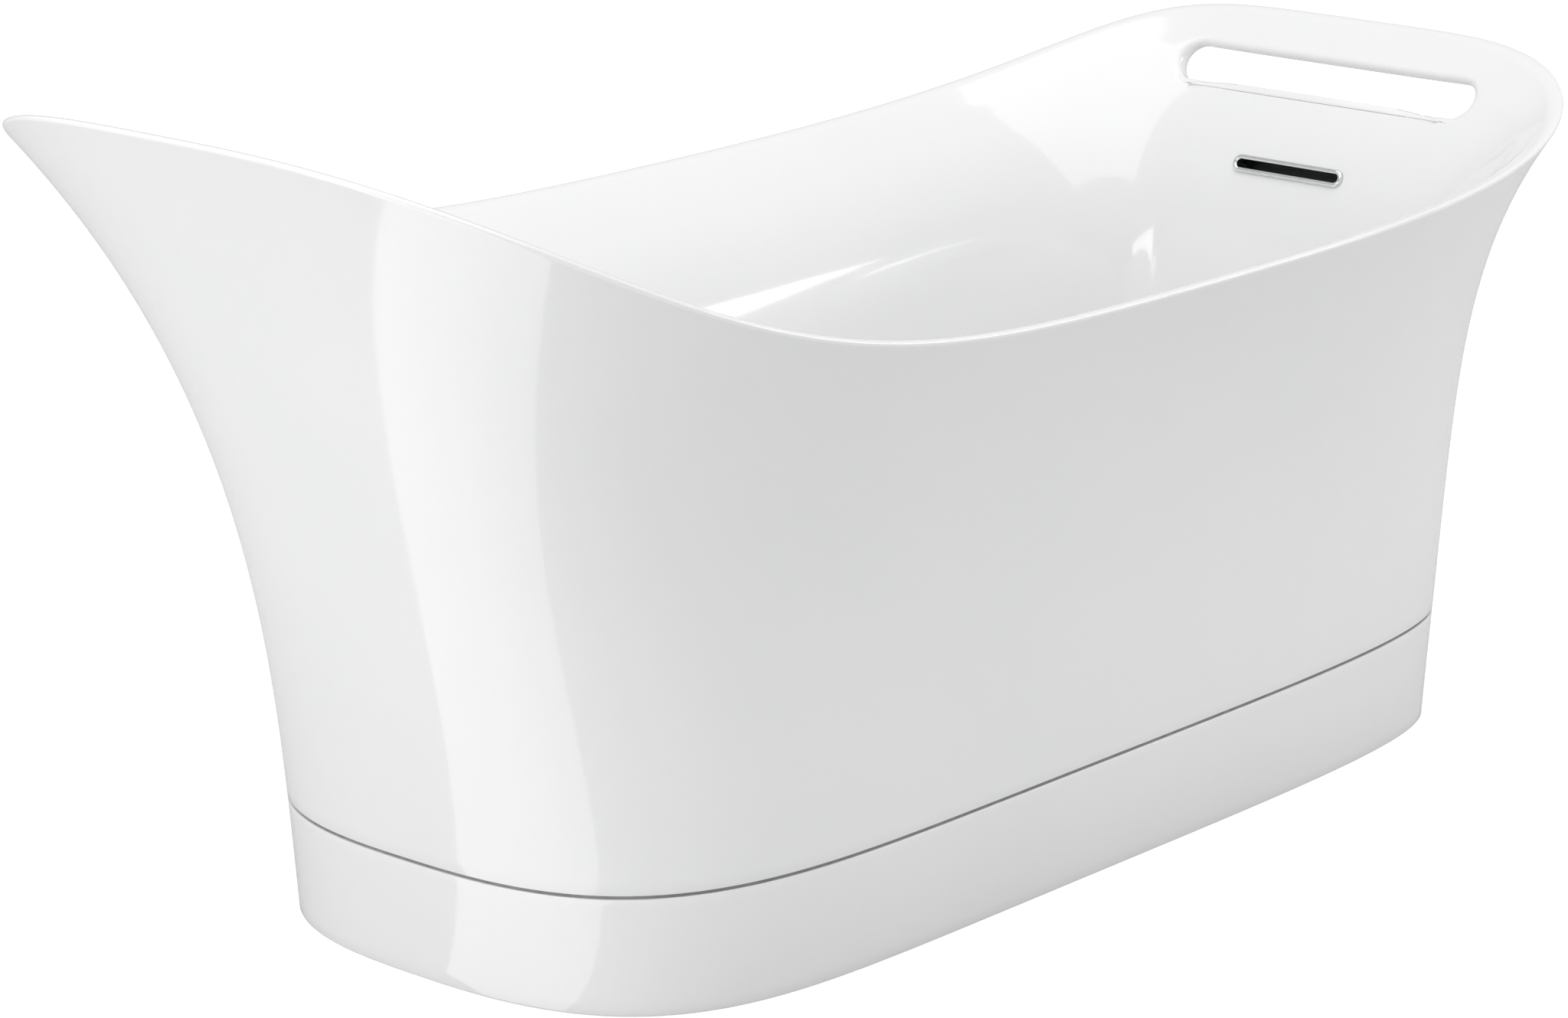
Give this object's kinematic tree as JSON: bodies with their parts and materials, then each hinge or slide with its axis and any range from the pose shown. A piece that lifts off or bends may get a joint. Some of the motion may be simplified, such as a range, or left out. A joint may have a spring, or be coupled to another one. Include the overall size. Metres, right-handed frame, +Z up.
{
  "type": "freestanding bathtub",
  "caption": "Freestanding bathtub with a high flared back, a towel slot through the foot wall, slot overflow, separate plinth, push-open waste and hidden frame.",
  "frame": {"origin": "on the floor, under the centre of the tub's overall box", "axes": "+Z up, +X towards the foot end with the towel slot, -Y the near long side; the tub is symmetric across Y"},
  "size_m": [1.8, 0.8, 0.8621],
  "materials": {
    "shell": "glossy white sanitary acrylic",
    "joint_strip": "satin grey joint strip",
    "board": "resin-coated particle board",
    "frame_steel": "satin black powder coat",
    "zinc": "bright zinc plate",
    "chrome": "polished chrome",
    "rubber": "matt black rubber",
    "pipe_plastic": "satin grey-white pipe plastic",
    "brass": "machined brass",
    "pad_plastic": "moulded black plastic"
  },
  "bodies": {
    "tub": {"outer_shell": "shell", "inner_basin": "shell", "plinth": "shell", "plinth_gasket": "joint_strip", "base_board": "board", "long_rails": "frame_steel", "cross_rails": "frame_steel", "frame_bolts": "zinc", "foot_locknuts": "zinc", "plinth_brackets": "zinc", "bracket_bolts": "zinc", "plinth_screws": "zinc", "overflow_trim": "chrome", "overflow_seal": "rubber", "overflow_body": "pipe_plastic", "overflow_pipe": "pipe_plastic", "pipe_nuts": "pipe_plastic", "pipe_seals": "rubber", "drain_flange": "chrome", "flange_seal": "rubber", "plug_cartridge": "brass", "floor_gasket": "rubber", "waste_body": "pipe_plastic", "waste_nut": "brass", "trap_nut": "pipe_plastic", "trap_seal": "rubber", "trap_body": "pipe_plastic", "trap_cap": "pipe_plastic", "trap_cap_seal": "rubber"},
    "plug": {"drain_plug": "chrome", "plug_seal": "rubber"},
    "foot_1": {"foot_stud_1": "zinc", "foot_pad_1": "pad_plastic"},
    "foot_2": {"foot_stud_2": "zinc", "foot_pad_2": "pad_plastic"},
    "foot_3": {"foot_stud_3": "zinc", "foot_pad_3": "pad_plastic"},
    "foot_4": {"foot_stud_4": "zinc", "foot_pad_4": "pad_plastic"},
    "foot_5": {"foot_stud_5": "zinc", "foot_pad_5": "pad_plastic"}
  },
  "joints": [
    {"name": "plug_lift", "type": "slide", "parent": "tub", "child": "plug", "axis": [0, 0, 1], "range_m": [0, 0.009]},
    {"name": "foot_1_screw", "type": "slide", "parent": "tub", "child": "foot_1", "axis": [0, 0, -1], "range_m": [-0.005, 0.015]},
    {"name": "foot_2_screw", "type": "slide", "parent": "tub", "child": "foot_2", "axis": [0, 0, -1], "range_m": [-0.005, 0.015]},
    {"name": "foot_3_screw", "type": "slide", "parent": "tub", "child": "foot_3", "axis": [0, 0, -1], "range_m": [-0.005, 0.015]},
    {"name": "foot_4_screw", "type": "slide", "parent": "tub", "child": "foot_4", "axis": [0, 0, -1], "range_m": [-0.005, 0.015]},
    {"name": "foot_5_screw", "type": "slide", "parent": "tub", "child": "foot_5", "axis": [0, 0, -1], "range_m": [-0.005, 0.015]}
  ]
}
